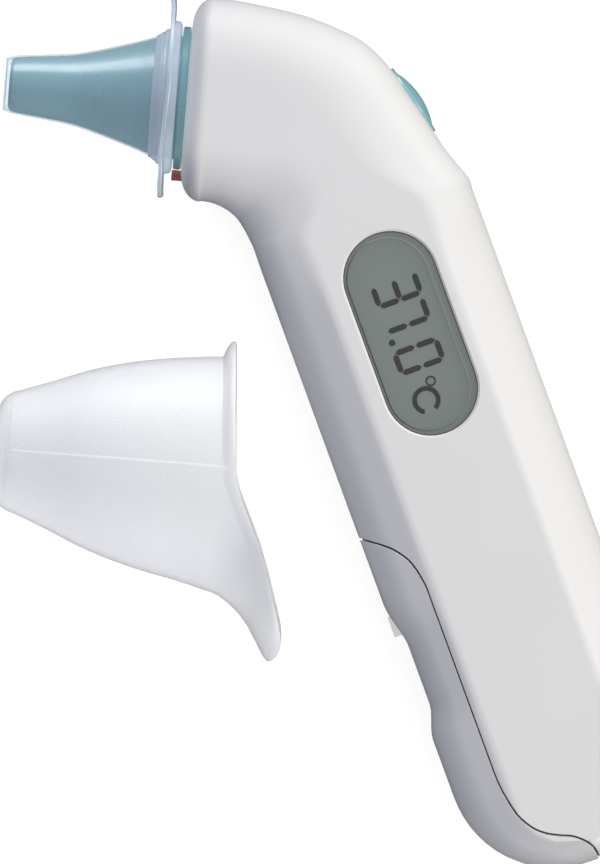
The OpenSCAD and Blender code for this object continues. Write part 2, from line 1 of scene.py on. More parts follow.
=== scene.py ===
"""Looks of an infrared ear thermometer lying on its side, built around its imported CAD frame.

Outlines are in millimetres, in the frame's X and Y, and are scaled to metres when a mesh is made.
The handle frame has x towards the back of the handle and y towards the head.
"""
import json
import math

import bmesh
import bpy
import numpy as np
from mathutils import Matrix, Vector


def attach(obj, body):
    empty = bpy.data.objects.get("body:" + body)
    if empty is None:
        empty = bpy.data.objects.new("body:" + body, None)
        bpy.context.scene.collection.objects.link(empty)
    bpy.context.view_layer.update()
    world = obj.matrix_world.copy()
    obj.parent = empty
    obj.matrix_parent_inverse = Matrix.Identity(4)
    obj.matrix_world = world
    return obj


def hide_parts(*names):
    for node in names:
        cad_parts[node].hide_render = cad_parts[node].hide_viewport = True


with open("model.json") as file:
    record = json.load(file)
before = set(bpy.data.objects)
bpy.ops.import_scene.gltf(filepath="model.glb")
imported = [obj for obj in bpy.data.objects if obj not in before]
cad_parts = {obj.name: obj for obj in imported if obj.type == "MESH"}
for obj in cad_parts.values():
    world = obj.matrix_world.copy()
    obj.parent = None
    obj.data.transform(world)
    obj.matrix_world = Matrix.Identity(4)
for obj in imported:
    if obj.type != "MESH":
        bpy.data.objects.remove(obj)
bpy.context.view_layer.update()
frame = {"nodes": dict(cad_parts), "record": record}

MM = 0.001

# ---- driving dimensions, in millimetres and degrees ----
BODY_THICK = 31.5
WALL = 2.0
MID_Z = BODY_THICK / 2
HANDLE_TILT = 20.1
HANDLE_LEN = 84.48
HANDLE_FROM = -17.0
SEAM_GAP = 0.28
HALF_GAP = 0.02
GROOVE = 0.12
THIN_WALL = WALL - 0.2
# Inset of the dark strip under the seam, which is painted shade for the seam's groove
COVER_FROM = 22
SEAM_SHADE_INSET = 0.4
LATCH_SLOT = dict(x=(-20, -14), y=(-44.8, -39.1), half=3.2)
PROBE_TILT = 4.6
PROBE_REACH = 27.8
NOSE_AT = (-33.9, 35.8)
NOSE_R = 15.4
NOSE_EDGE_R = 4.4
NOSE_EDGE_L = 3.0
NOZZLE_HOLE_R = 9.2
BUTTON_AT = (0.3, 35.45)
BUTTON_TURN = 34.5
BUTTON_R = 5.8
BUTTON_RISE = 1.5
BUTTON_GAP = 0.3
PIN_AT = (0, 11.8)
PIN_HOLE_R = 0.95
SCREWS = [(-14.5, 38.5), (19.6, -22.8), (34.6, -64)]
SCREW_HOLE_R = 2.2
SCREW_HOLE_DEEP = 3.6
WINDOW_W = 14.3
WINDOW_L = 32.0
WINDOW_CHAMFER = 0.3
WINDOW_CUT_Z = 28
PANE_LOW = 29.6
PANE_SUNK = 0.4
RIM_WIDTH = 1.03
RIM_SHIFT = 0.33
RIM_LOW = 28.55
RIM_TOP = 29.2
BEAD_RISE = 0.22
# Heights of the dark ring around the pane, which is painted shade of the window hole's wall
SHADE_RING_Z = (29.25, 30.75)
INNER_X = -17.9
BACK_X = 16.4
END_CORNER_R = 16.0
FLAT_HALF = 9.4
FLAT_X = -0.5
FLAT_END = 81.2
FLAT_CORNER_R = 9.2
SIDE_FLAT = 7.0
END_DROP = 0.75
ROUND_FLAT = 0.06
NOSE_FLAT = (0.5, 0.3)
NOSE_SIDE = 0.3
NOSE_POWER = 0.8
BEND_FLAT = (0.55, 0.55)
BEND_DIP = (0.35, 0.2)
CREASE_START = 0.6
CREASE_FULL = -7.0
BEND_SIDE = 0.44
FLAT_AT = [0.045, 0.12, 0.3, 0.5, 0.7, 0.88, 0.955]
HOLLOW = dict(depth=1.4, start=37.2, full=44.7, fade=53.8, end=59.4)
NOZZLE_SHORT = 0.75
NOZZLE_GAP = 0.28
FILM_WALL = 0.22
FLANGE_FLAT_R = 11.7
FLANGE_WIDTH = 3.7
CAP_LEN = 36.6
CAP_WALL = 1.4
CAP_AT = (-26.4, -20.5, 17.45)
CAP_AXIS_R = 0.05
CAP_RING = 0.07
LIP_OUT = 0.29
LIP_WIDEN = 2.1
MOULD_LINE = dict(out=0.22, degrees=1.1, start=1.8, end=34.4)

# Inner side and back of the housing between the nose and the handle, in the frame's X and Y
BEND_INNER = [
    (-31.6, 20.25), (-30.2, 20), (-28.9, 19.5), (-27.8, 18.9), (-26.9, 18.2), (-26.2, 17.5),
    (-25.6, 16.6), (-25, 15.6), (-24.5, 14.6), (-24, 13.6), (-23.6, 12.6),
]
BEND_OUTER = [
    (-26, 50.5), (-20.5, 49.4), (-15.5, 48.1), (-10.7, 46.2), (-6.7, 44), (-3.2, 40.5),
    (-0.1, 36), (3.5, 30.8), (5.2, 28.2), (7.2, 25.7), (8.9, 23.6),
]
# Seam of the battery cover in the handle frame, from the inner side down to the bottom end
SEAM = [
    (-20, -25.6), (-17.5, -27.1), (-16.1, -28.1), (-14.9, -29), (-13.8, -30), (-12.8, -31.3),
    (-12.1, -32.5), (-11.6, -34), (-11.3, -35.5), (-11.1, -37.2), (-11.1, -40), (-11.1, -45), (-11.1, -53),
    (-11.1, -60), (-11.1, -64.5), (-11.1, -67), (-11, -69), (-10.7, -71),
    (-10, -74), (-8.6, -76.5), (-7, -78), (-5.2, -79), (-3.4, -79.8), (-2.1, -80.8),
    (-1.1, -82), (-0.6, -83.4), (-0.5, -86),
]
# Probe cover: distance from the tip and outer radius
SLEEVE = [
    (0, 4.1), (2, 4.5), (6.5, 5), (10.5, 5.5), (14.5, 6.5), (18.5, 7.7), (21, 8.5), (23, 9.2), (27, 9.7),
]
# Waves around the edge of the probe cover's flange: height, count and start
FLANGE_WAVES = [(0.16, 3, 0.6), (0.08, 7, 2), (0.05, 13, 0)]
# Protective cap: height and radius, and then what its tongue's side adds to the radius
FUNNEL = [
    (-10, 17.4), (0, 17), (4, 16.8), (8, 16.4), (13, 15.7), (18, 14.7), (23, 13.3), (28, 11.4), (32, 9.9),
    (36.5, 8.2),
]
FLARE = [
    (-9, 11.5), (-7, 11.2), (-5.2, 9), (-3.2, 6), (-1, 3.9), (1.4, 2.4), (4, 1.8), (8, 1.2), (13, 0.9),
    (18, 0.6), (28, 0.1), (36, 0),
]
# Rounded edge of the cap's closed end: distance in from the side and down from the end
CAP_END = [(8.0, 0), (3.0, 0), (1.6, 0.02), (0.8, 0.3), (0.25, 0.9), (0, 1.7)]
# Rolled lip of the cap, wider on the side away from the tongue: distance from the rim and share of the width
CAP_LIP = [(1.9, 0.02), (1.6, 0.35), (1.2, 0.7), (0.8, 0.93), (0.45, 1.0), (0.2, 0.97), (0.0, 0.8)]


# ---- small maths ----
def mix(a, b, t):
    return a + (b - a) * t


def smooth(t):
    k = max(0.0, min(1.0, t))
    return k * k * (3 - 2 * k)


def toward(degrees):
    a = math.radians(degrees)
    return np.array((math.cos(a), math.sin(a)))


def handle_xy(x, y):
    """A point of the handle frame, as X and Y of the frame."""
    return x * toward(HANDLE_TILT) + y * toward(HANDLE_TILT + 90)


def curve(table, x):
    """A smooth curve through a table of (x, value) pairs."""
    xs = [p[0] for p in table]
    ys = [p[1] for p in table]
    n = len(xs)
    x = max(xs[0], min(xs[-1], x))
    k = min(n - 2, max(0, int(np.searchsorted(xs, x)) - 1))

    def slope(i):
        lo, hi = max(0, i - 1), min(n - 1, i + 1)
        return (ys[hi] - ys[lo]) / (xs[hi] - xs[lo])

    h = xs[k + 1] - xs[k]
    t = (x - xs[k]) / h
    a = 2 * t**3 - 3 * t**2 + 1
    b = t**3 - 2 * t**2 + t
    c = -2 * t**3 + 3 * t**2
    d = t**3 - t**2
    return a * ys[k] + b * h * slope(k) + c * ys[k + 1] + d * h * slope(k + 1)


def spline(points, t):
    """A point of the smooth line through points, t counting from the first one."""
    p = [np.array(q, float) for q in points]
    k = min(len(p) - 2, max(0, int(t)))
    f = t - k
    p0, p1, p2, p3 = p[max(0, k - 1)], p[k], p[k + 1], p[min(len(p) - 1, k + 2)]
    return 0.5 * (
        2 * p1 + (p2 - p0) * f + (2 * p0 - 5 * p1 + 4 * p2 - p3) * f**2 + (3 * p1 - p0 - 3 * p2 + p3) * f**3
    )


# ---- meshes ----
def new_object(name, points, faces, place=None):
    """A mesh object from points in millimetres, moved by a matrix in millimetres if one is given."""
    if place is not None:
        points = [place @ Vector(p) for p in points]
    mesh = bpy.data.meshes.new(name)
    mesh.from_pydata([tuple(c * MM for c in p) for p in points], [], [tuple(f) for f in faces])
    mesh.validate()
    obj = bpy.data.objects.new(name, mesh)
    bpy.context.scene.collection.objects.link(obj)
    return obj


WELD = 0.002
BEVEL_FROM = 40.0


def clean(obj, sharp_degrees=35.0):
    """Welds doubles, faces the normals outwards, smooths, and marks the sharp edges."""
    bm = bmesh.new()
    bm.from_mesh(obj.data)
    bmesh.ops.remove_doubles(bm, verts=bm.verts, dist=WELD * MM)
    bmesh.ops.dissolve_degenerate(bm, edges=bm.edges, dist=WELD * MM)
    bmesh.ops.recalc_face_normals(bm, faces=bm.faces)
    limit = math.radians(sharp_degrees)
    for f in bm.faces:
        f.smooth = True
    for e in bm.edges:
        e.smooth = len(e.link_faces) == 2 and e.calc_face_angle(0) < limit
    bm.to_mesh(obj.data)
    bm.free()


def cut(obj, tool, operation="DIFFERENCE"):
    """Cuts obj with the tool's solid, and removes the tool."""
    mod = obj.modifiers.new("cut", "BOOLEAN")
    mod.operation = operation
    mod.solver = "EXACT"
    mod.object = tool
    bpy.context.view_layer.update()
    done = bpy.data.meshes.new_from_object(obj.evaluated_get(bpy.context.evaluated_depsgraph_get()))
    obj.modifiers.clear()
    obj.data = done
    bpy.data.objects.remove(tool)


def bevel(obj, width, segments=2):
    """Rounds the edges that are sharper than BEVEL_FROM."""
    mod = obj.modifiers.new("edge rounding", "BEVEL")
    mod.width = width * MM
    mod.limit_method = "ANGLE"
    mod.angle_limit = math.radians(BEVEL_FROM)
    mod.segments = segments
    mod.harden_normals = True


def grid_faces(rows, cols, base=0, wrap=False):
    """Quads between rows of points that are numbered from base."""
    faces = []
    for i in range(rows - 1):
        here, there = base + i * cols, base + (i + 1) * cols
        for j in range(cols if wrap else cols - 1):
            beside = (j + 1) % cols
            faces.append((here + j, here + beside, there + beside, there + j))
    return faces


def prism(name, outline, low, high, place=None):
    """A straight solid on an outline of X and Y points."""
    n = len(outline)
    points = [(*p, low) for p in outline] + [(*p, high) for p in outline]
    faces = [tuple(range(n))[::-1], tuple(range(n, 2 * n))]
    faces += [(i, (i + 1) % n, (i + 1) % n + n, i + n) for i in range(n)]
    obj = new_object(name, points, faces, place)
    clean(obj)
    return obj


def lathe(name, profile, place, turns=128, wobble=None):
    """A closed ring profile of (radius, height) turned about the placed Z axis."""
    points = []
    for k in range(turns):
        a = 2 * math.pi * k / turns
        for r, z in profile:
            dz = wobble(a, r) if wobble else 0.0
            points.append((r * math.cos(a), r * math.sin(a), z + dz))
    n = len(profile)
    faces = []
    for k in range(turns):
        for j in range(n):
            a, b = k * n + j, k * n + (j + 1) % n
            c, d = ((k + 1) % turns) * n + (j + 1) % n, ((k + 1) % turns) * n + j
            faces.append((a, b, c, d))
    obj = new_object(name, points, faces, place)
    clean(obj)
    return obj


def stadium(w, l, steps=24):
    """Points of a rounded slot in the handle frame, as X and Y of the frame."""
    r, half = w / 2, (l - w) / 2
    arc = [math.pi * k / steps for k in range(steps + 1)]
    top = [(r * math.cos(a), half + r * math.sin(a)) for a in arc]
    return [tuple(handle_xy(*p)) for p in top + [(-x, -y) for x, y in top]]


def spin_place(at, turn):
    """A frame on the middle plane whose Z axis points along turn, in millimetres."""
    return (
        Matrix.Translation((at[0], at[1], MID_Z)) @ Matrix.Rotation(math.radians(turn), 4, "Z")
        @ Matrix.Rotation(math.radians(90), 4, "Y")
    )


PROBE = spin_place(NOSE_AT, 180 - PROBE_TILT)
BUTTON = spin_place(BUTTON_AT, BUTTON_TURN)


# ---- housing surface ----
# A station is (inner point, back point, half thickness, flat from, flat to, straight side, power,
# share); the share turns its corners from a round of that power at 0 to the crease at 1.
def nose_station(depth, r):
    centre = np.array(NOSE_AT) + depth * toward(-PROBE_TILT)
    side = toward(90 - PROBE_TILT)
    k = smooth((r - NOZZLE_HOLE_R) / (NOSE_R - NOZZLE_HOLE_R))
    low, high = (mix(ROUND_FLAT, f, k) for f in NOSE_FLAT)
    return (
        centre - r * side, centre + r * side, r, -low, high, mix(ROUND_FLAT, NOSE_SIDE, k),
        mix(1, NOSE_POWER, k), 0.0,
    )


def nose_stations(inset, steps=10):
    out = [nose_station(inset, NOZZLE_HOLE_R), nose_station(inset, NOZZLE_HOLE_R + 1)]
    for k in range(steps + 1):
        a = math.radians(90 * k / steps)
        depth = inset + (NOSE_EDGE_L - inset / 2) * (1 - math.cos(a))
        out.append(nose_station(depth, NOSE_R - NOSE_EDGE_R + (NOSE_EDGE_R - inset) * math.sin(a)))
    return out


def handle_station(y, inset):
    centre = (INNER_X + BACK_X) / 2
    half = (BACK_X - INNER_X) / 2
    end_l = HANDLE_LEN - FLAT_END - inset
    v = y if y < FLAT_END else FLAT_END + (y - FLAT_END) * end_l / (end_l + inset)
    over = max(0.0, v - HANDLE_LEN + END_CORNER_R)
    w = half - END_CORNER_R + math.sqrt(max(0.0, (END_CORNER_R - inset) ** 2 - over**2))
    fall = max(0.0, v - FLAT_END) / end_l
    drop = MID_Z - SIDE_FLAT - END_DROP - inset
    thick = MID_Z - inset - drop * (1 - math.sqrt(max(0.0, 1 - fall**2)))
    flat_over = max(0.0, min(v, FLAT_END) - FLAT_END + FLAT_CORNER_R)
    flat = FLAT_HALF - FLAT_CORNER_R + math.sqrt(FLAT_CORNER_R**2 - flat_over**2)
    dip = (
        HOLLOW["depth"] * smooth((v - HOLLOW["start"]) / (HOLLOW["full"] - HOLLOW["start"]))
        * smooth((HOLLOW["end"] - v) / (HOLLOW["end"] - HOLLOW["fade"]))
    )
    inner, outer = centre - w + dip, centre + w
    mid, wide = (inner + outer) / 2, (outer - inner) / 2
    flat = min(flat, 0.9 * wide)
    low = max(-0.9, (FLAT_X - flat - mid) / wide)
    high = min(0.9, (FLAT_X + flat - mid) / wide)
    return (
        handle_xy(inner, -v), handle_xy(outer, -v), thick, low, high, min(0.92, SIDE_FLAT / thick),
        NOSE_POWER, mix(CREASE_START, 1, smooth((y - HANDLE_FROM) / (CREASE_FULL - HANDLE_FROM))),
    )


def bend_stations(inset, steps=5):
    """The bend, smooth between the nose's last station and the handle's first."""
    start, end = nose_station(NOSE_EDGE_L, NOSE_R), handle_station(HANDLE_FROM, 0)
    after = handle_station(HANDLE_FROM + 3, 0)
    inner = [start[0]] + BEND_INNER + [end[0], after[0]]
    outer = [start[1]] + BEND_OUTER + [end[1], after[1]]
    count = len(BEND_INNER) + 1
    out = []
    for k in range(1, count * steps):
        s = k / steps
        a, b = spline(inner, s), spline(outer, s)
        d = (b - a) / np.linalg.norm(b - a)
        t = smooth(s / count)
        # Reaches 1 where t is two thirds
        less = 6.75 * t * t * (1 - t)
        low, high = (mix(n, f, t) - less * dip for n, f, dip in zip(NOSE_FLAT, BEND_FLAT, BEND_DIP))
        out.append((
            a + inset * d, b - inset * d, mix(NOSE_R, MID_Z, t) - inset, -low, high,
            mix(NOSE_SIDE, BEND_SIDE, t), NOSE_POWER, CREASE_START * t * t,
        ))
    return out


def handle_steps(start=HANDLE_FROM):
    """Places of the handle's stations, closer together over the hollow and around the bottom end."""
    straight = [*np.arange(start, 35.5, 1.5), *np.arange(36, 60.5, 0.8), *np.arange(61.5, 68, 1.6)]
    corner = list(np.linspace(68.5, FLAT_END, 9))
    end = [FLAT_END + (HANDLE_LEN - FLAT_END) * math.sin(math.radians(a)) for a in range(8, 91, 6)]
    return straight + corner + end + [HANDLE_LEN]


CORNER_STEPS = 14
SIDE_STEPS = 4
FIRST_RISE = 0.01
# The handle's corner: a steep curve up from the side, then a slope that meets the flat in a crease
CREASE_CURVE = [(1, 0), (1, 0.33), (0.67, 0.646), (0.45, 0.762)]
CREASE_SLOPE = [(0.36, 0.81), (0.2, 0.899), (0.08, 0.964), (0, 1)]


def crease_corner():
    """The handle's corner as (across, up) fractions, from the side to the flat."""
    out = []
    steps = CORNER_STEPS - len(CREASE_SLOPE)
    for k in range(steps + 1):
        t = k / steps
        weights = ((1 - t) ** 3, 3 * t * (1 - t) ** 2, 3 * t * t * (1 - t), t**3)
        out.append(tuple(sum(w * p[i] for w, p in zip(weights, CREASE_CURVE)) for i in (0, 1)))
    return out + CREASE_SLOPE


CREASE = crease_corner()


def half_section(station):
    """From the inner side over the flat to the back, as (across, up) fractions."""
    low, high, side, power, share = station[3:8]
    quarter = [math.radians(90 * k / CORNER_STEPS) for k in range(CORNER_STEPS + 1)]
    corner = [
        (mix(abs(math.cos(a)) ** power, p[0], share), mix(math.sin(a) ** power, p[1], share))
        for a, p in zip(quarter, CREASE)
    ]
    rise = [side * k / SIDE_STEPS for k in range(SIDE_STEPS)]
    out = [(-1, h) for h in rise]
    out += [(low - (1 + low) * c, side + (1 - side) * s) for c, s in corner]
    out += [(mix(low, high, k), 1) for k in FLAT_AT]
    out += [(high + (1 - high) * c, side + (1 - side) * s) for c, s in corner[::-1]]
    return out + [(1, h) for h in rise[::-1]]


def half_ring(station, side, groove=0.0):
    """One half section in space; the groove chamfers its two edges on the middle plane."""
    centre = (station[0] + station[1]) / 2
    half = (station[1] - station[0]) / 2
    wide = np.linalg.norm(half)
    section = half_section(station)
    if groove:
        lift = groove / station[2]
        section = (
            [(-1 + groove / wide, 0), (-1, lift)] + section[1:-1] + [(1, lift), (1 - groove / wide, 0)]
        )
    else:
        section = [section[0], (-1, FIRST_RISE)] + section[1:-1] + [(1, FIRST_RISE), section[-1]]
    thick = station[2] - HALF_GAP
    return [
        (*(centre + half * across), MID_Z + side * (HALF_GAP + thick * up))
        for across, up in section
    ]


def half_shell(name, side):
    """One half of the hollow housing as a closed mesh."""
    def rings(inset, groove):
        handle = [handle_station(y, inset) for y in handle_steps()]
        stations = nose_stations(inset) + bend_stations(inset) + handle
        return [half_ring(s, side, groove) for s in stations]

    outer, inner = rings(0, GROOVE), rings(WALL, 0)
    rows, cols = len(outer), len(outer[0])
    n = rows * cols
    points = [p for ring in outer for p in ring] + [p for ring in inner for p in ring]
    faces = grid_faces(rows, cols) + [f[::-1] for f in grid_faces(rows, cols, n)]
    for j in (0, cols - 1):
        for i in range(rows - 1):
            a, c = i * cols + j, (i + 1) * cols + j
            faces.append((a, c, c + n, a + n))
    faces += [(j, j + 1, j + 1 + n, j + n) for j in range(cols - 1)]
    last = (rows - 1) * cols
    faces.append(tuple(range(last, last + cols)))
    faces.append(tuple(range(last + n, last + n + cols)))
    faces.append((last, last + cols - 1, last + cols - 1 + n, last + n))
    obj = new_object(name, points, faces)
    clean(obj)
    return obj


def handle_plug(name, inset, start):
    """A solid of the handle's outer or inner shape, from start down to the bottom end."""
    rings = []
    for y in handle_steps(start):
        station = handle_station(y, inset)
        up, down = half_ring(station, 1), half_ring(station, -1)
        rings.append(up[1:-1] + down[-2:0:-1])
    rows, cols = len(rings), len(rings[0])
    faces = grid_faces(rows, cols, wrap=True)
    faces.append(tuple(range(cols)))
    faces.append(tuple(range((rows - 1) * cols, rows * cols)))
    obj = new_object(name, [p for r in rings for p in r], faces)
    clean(obj)
    return obj


def seam_prism(shift):
    """The cover's side of the seam, as a prism through the whole handle."""
    far_x, far_y = -60, -100
    line = [handle_xy(*spline(SEAM, k / 4)) for k in range(4 * (len(SEAM) - 1) + 1)]
    line += [handle_xy(SEAM[-1][0], far_y), handle_xy(far_x, far_y), handle_xy(far_x, SEAM[0][1])]
    step = handle_xy(shift, shift)
    return prism("seam_tool", [tuple(p + step) for p in line], -2, BODY_THICK + 2)


# ---- materials ----
BUMP_DEPTH = 0.0001
SLOW_SCALE = 60.0


def node(tree, kind, **values):
    """A shader node with its inputs, or else its own settings, set by name."""
    made = tree.nodes.new(kind)
    for key, value in values.items():
        if key in made.inputs:
            made.inputs[key].default_value = value
        else:
            setattr(made, key, value)
    return made


def plastic(name, color, roughness=0.35, grain=0.0006, bump=0.05, tint=0.03, coat=0.0, **extra):
    """A moulded surface: fine grain in the bump, slow changes in colour and roughness."""
    mat = bpy.data.materials.new(name)
    mat.use_nodes = True
    tree = mat.node_tree
    shader = tree.nodes["Principled BSDF"]
    where = node(tree, "ShaderNodeTexCoord")
    slow = node(tree, "ShaderNodeTexNoise", Scale=SLOW_SCALE, Detail=3.0)
    fine = node(tree, "ShaderNodeTexNoise", Scale=1 / grain, Detail=2.0)
    tree.links.new(where.outputs["Object"], slow.inputs["Vector"])
    tree.links.new(where.outputs["Object"], fine.inputs["Vector"])
    ramp = node(tree, "ShaderNodeMapRange")
    ramp.inputs["To Min"].default_value = roughness * 0.85
    ramp.inputs["To Max"].default_value = min(1.0, roughness * 1.15)
    tree.links.new(slow.outputs["Fac"], ramp.inputs["Value"])
    tree.links.new(ramp.outputs["Result"], shader.inputs["Roughness"])
    blend = node(tree, "ShaderNodeMix", data_type="RGBA")
    dark = tuple(c * (1 - tint) for c in color[:3])
    blend.inputs["A"].default_value = (*color[:3], 1)
    blend.inputs["B"].default_value = (*dark, 1)
    tree.links.new(slow.outputs["Fac"], blend.inputs["Factor"])
    tree.links.new(blend.outputs["Result"], shader.inputs["Base Color"])
    relief = node(tree, "ShaderNodeBump", Strength=bump, Distance=BUMP_DEPTH)
    tree.links.new(fine.outputs["Fac"], relief.inputs["Height"])
    tree.links.new(relief.outputs["Normal"], shader.inputs["Normal"])
    shader.inputs["Coat Weight"].default_value = coat
    for key, value in extra.items():
        shader.inputs[key.replace("_", " ")].default_value = value
    return mat


def see_through(
    name, color, clear, roughness, grain=0.0004, bump=0.1, milky=0.5, rim=0.5, shine=0.5, ior=1.45
):
    """A thin see-through skin: part clear, part milky, glossy, and denser where it is seen edge-on."""
    mat = bpy.data.materials.new(name)
    mat.use_nodes = True
    tree = mat.node_tree
    tree.nodes.clear()
    out = node(tree, "ShaderNodeOutputMaterial")
    where = node(tree, "ShaderNodeTexCoord")
    fine = node(tree, "ShaderNodeTexNoise", Scale=1 / grain, Detail=3.0)
    tree.links.new(where.outputs["Object"], fine.inputs["Vector"])
    relief = node(tree, "ShaderNodeBump", Strength=bump, Distance=BUMP_DEPTH)
    tree.links.new(fine.outputs["Fac"], relief.inputs["Height"])
    normal = relief.outputs["Normal"]
    clear_node = node(tree, "ShaderNodeBsdfTransparent")
    clear_node.inputs["Color"].default_value = (*[mix(1, c, 0.25) for c in color[:3]], 1)
    diffuse = node(tree, "ShaderNodeBsdfDiffuse")
    through = node(tree, "ShaderNodeBsdfTranslucent")
    gloss = node(tree, "ShaderNodeBsdfGlossy", Roughness=roughness)
    diffuse.inputs["Color"].default_value = (*color[:3], 1)
    through.inputs["Color"].default_value = (*color[:3], 1)
    for shader in (diffuse, through, gloss):
        tree.links.new(normal, shader.inputs["Normal"])
    milk = node(tree, "ShaderNodeMixShader")
    milk.inputs[0].default_value = milky
    tree.links.new(diffuse.outputs[0], milk.inputs[1])
    tree.links.new(through.outputs[0], milk.inputs[2])
    facing = node(tree, "ShaderNodeLayerWeight", Blend=0.35)
    tree.links.new(normal, facing.inputs["Normal"])
    dense = node(tree, "ShaderNodeMapRange")
    dense.inputs["To Min"].default_value = 1 - clear
    dense.inputs["To Max"].default_value = min(1.0, 1 - clear + rim)
    tree.links.new(facing.outputs["Facing"], dense.inputs["Value"])
    body = node(tree, "ShaderNodeMixShader")
    tree.links.new(dense.outputs["Result"], body.inputs[0])
    tree.links.new(clear_node.outputs[0], body.inputs[1])
    tree.links.new(milk.outputs[0], body.inputs[2])
    fresnel = node(tree, "ShaderNodeFresnel", IOR=ior)
    tree.links.new(normal, fresnel.inputs["Normal"])
    # Only the side that faces out shines
    front = node(tree, "ShaderNodeMapRange")
    front.inputs["To Min"].default_value = shine
    front.inputs["To Max"].default_value = 0.0
    tree.links.new(node(tree, "ShaderNodeNewGeometry").outputs["Backfacing"], front.inputs["Value"])
    share = node(tree, "ShaderNodeMath", operation="MULTIPLY")
    tree.links.new(fresnel.outputs[0], share.inputs[0])
    tree.links.new(front.outputs[0], share.inputs[1])
    final = node(tree, "ShaderNodeMixShader")
    tree.links.new(share.outputs[0], final.inputs[0])
    tree.links.new(body.outputs[0], final.inputs[1])
    tree.links.new(gloss.outputs[0], final.inputs[2])
    tree.links.new(final.outputs[0], out.inputs["Surface"])
    return mat


def metal(name, color, roughness=0.3):
    return plastic(name, color, roughness, grain=0.0002, bump=0.08, Metallic=1.0)


MILKY_FILM = see_through(
    "milky_film", (0.53, 0.59, 0.68), 0.45, 0.25,
    grain=0.0006, bump=0.3, milky=0.35, rim=0.2, shine=0.8, ior=1.6,
)
# Dark purple of the ring around the pane: painted shade of the window hole's wall
PAINTED_WINDOW_SHADE = plastic("painted_window_shade", (0.05, 0.03, 0.045), 0.4)
MATERIALS = {
    "white_abs": plastic(
        "white_abs", (0.605, 0.6, 0.593), 0.4, grain=0.00025, bump=0.04, Specular_IOR_Level=0.16
    ),
    "clear_window": see_through(
        "clear_window", (0.75, 0.8, 0.78), 0.99, 0.04, bump=0.0, rim=0.03, shine=0.3
    ),
    "lcd_ink": plastic("lcd_ink", (0.02, 0.014, 0.018), 0.6),
    "lcd_glass": plastic("lcd_glass", (0.188, 0.21, 0.2), 0.5, grain=0.0002, bump=0.02, tint=0.04),
    "inner_plastic": plastic("inner_plastic", (0.7, 0.7, 0.68), 0.5),
    "elastomer": plastic("elastomer", (0.6, 0.25, 0.25), 0.7),
    "circuit_board": plastic("circuit_board", (0.02, 0.12, 0.05), 0.35),
    "black_plastic": plastic("black_plastic", (0.02, 0.02, 0.02), 0.45),
    "brass": metal("brass", (0.6, 0.45, 0.2)),
    "teal_button": plastic("teal_button", (0.195, 0.38, 0.43), 0.3, coat=0.2),
    "steel": metal("steel", (0.6, 0.6, 0.62)),
    "teal_plastic": plastic("teal_plastic", (0.125, 0.25, 0.285), 0.28, coat=0.3),
    "dark_glass": plastic("dark_glass", (0.02, 0.02, 0.03), 0.08),
    "gold_tube": metal("gold_tube", (0.9, 0.62, 0.2), 0.2),
    "flex": plastic("flex", (0.45, 0.16, 0.02), 0.4),
    "red_brown_plastic": plastic("red_brown_plastic", (0.16, 0.035, 0.02), 0.4),
    "clear_film": see_through(
        "clear_film", (0.72, 0.86, 0.92), 0.9, 0.36, grain=0.0008, bump=0.15, rim=0.1, shine=0.8, ior=1.6
    ),
    "frosted_cap": see_through(
        "frosted_cap", (0.87, 0.875, 0.88), 0.24, 0.35, grain=0.0003, bump=0.9, rim=0.35, shine=0.8
    ),
}


def dress(obj, slot_name, body, *replaced, material=None):
    """Gives a new piece its material, its body and the CAD nodes that it stands for."""
    obj.data.materials.clear()
    obj.data.materials.append(material or MATERIALS[slot_name])
    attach(obj, body)
    if replaced:
        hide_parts(*replaced)


# ---- pieces ----
def round_tool(place, r, low, high, at=(0, 0), sides=64):
    """A round cutter along the placed Z axis."""
    angles = [2 * math.pi * k / sides for k in range(sides)]
    outline = [(at[0] + r * math.cos(a), at[1] + r * math.sin(a)) for a in angles]
    return prism("round_tool", outline, low, high, place)


def window_outline(inset):
    """The window hole's outline, moved inwards."""
    return stadium(WINDOW_W - 2 * inset, WINDOW_L - 2 * inset)


def window_tool():
    """Cutter for the window hole, flared at the surface for the chamfer around the pane."""
    above = 0.5
    chamfer_z, top = BODY_THICK - WINDOW_CHAMFER, BODY_THICK + above
    levels = ((WINDOW_CUT_Z, 0), (chamfer_z, 0), (top, -WINDOW_CHAMFER - above))
    rings = [[(*p, z) for p in window_outline(inset)] for z, inset in levels]
    n = len(rings[0])
    faces = grid_faces(3, n, wrap=True) + [tuple(range(n)), tuple(range(2 * n, 3 * n))]
    tool = new_object("window_tool", [p for r in rings for p in r], faces)
    clean(tool)
    return tool


def hollow_tool():
    """Cutter for the hollow inside the handle."""
    return handle_plug("hollow_tool", THIN_WALL, COVER_FROM - 2)


def build_seam_shade_strip():
    """Dark strip on the housing under the seam, painted shade for the seam's groove; it also keeps light
    from falling through the gap.
    """
    shade_strip = handle_plug("seam_painted_shade_strip", SEAM_SHADE_INSET, COVER_FROM)
    cut(shade_strip, seam_prism(SEAM_GAP + 0.1), "INTERSECT")
    cut(shade_strip, seam_prism(0.06))
    cut(shade_strip, hollow_tool())
    clean(shade_strip)
    dress(shade_strip, "black_plastic", "housing")


def build_shells():
    display = half_shell("housing_display_side", 1)
    rest = half_shell("housing_rest_side", -1)
    for shell in (display, rest):
        cut(shell, seam_prism(SEAM_GAP))
        cut(shell, round_tool(BUTTON, BUTTON_R + BUTTON_GAP, -6, 6))
        cut(shell, round_tool(PROBE, PIN_HOLE_R, -3, 4, at=PIN_AT))
    cut(display, window_tool())
    flat = Matrix.Identity(4)
    for at in SCREWS:
        cut(rest, round_tool(flat, SCREW_HOLE_R, -1, SCREW_HOLE_DEEP, at))
    for shell, replaced in ((display, "display_shell"), (rest, "rest_shell")):
        clean(shell)
        bevel(shell, 0.15)
        dress(shell, "white_abs", "housing", replaced)


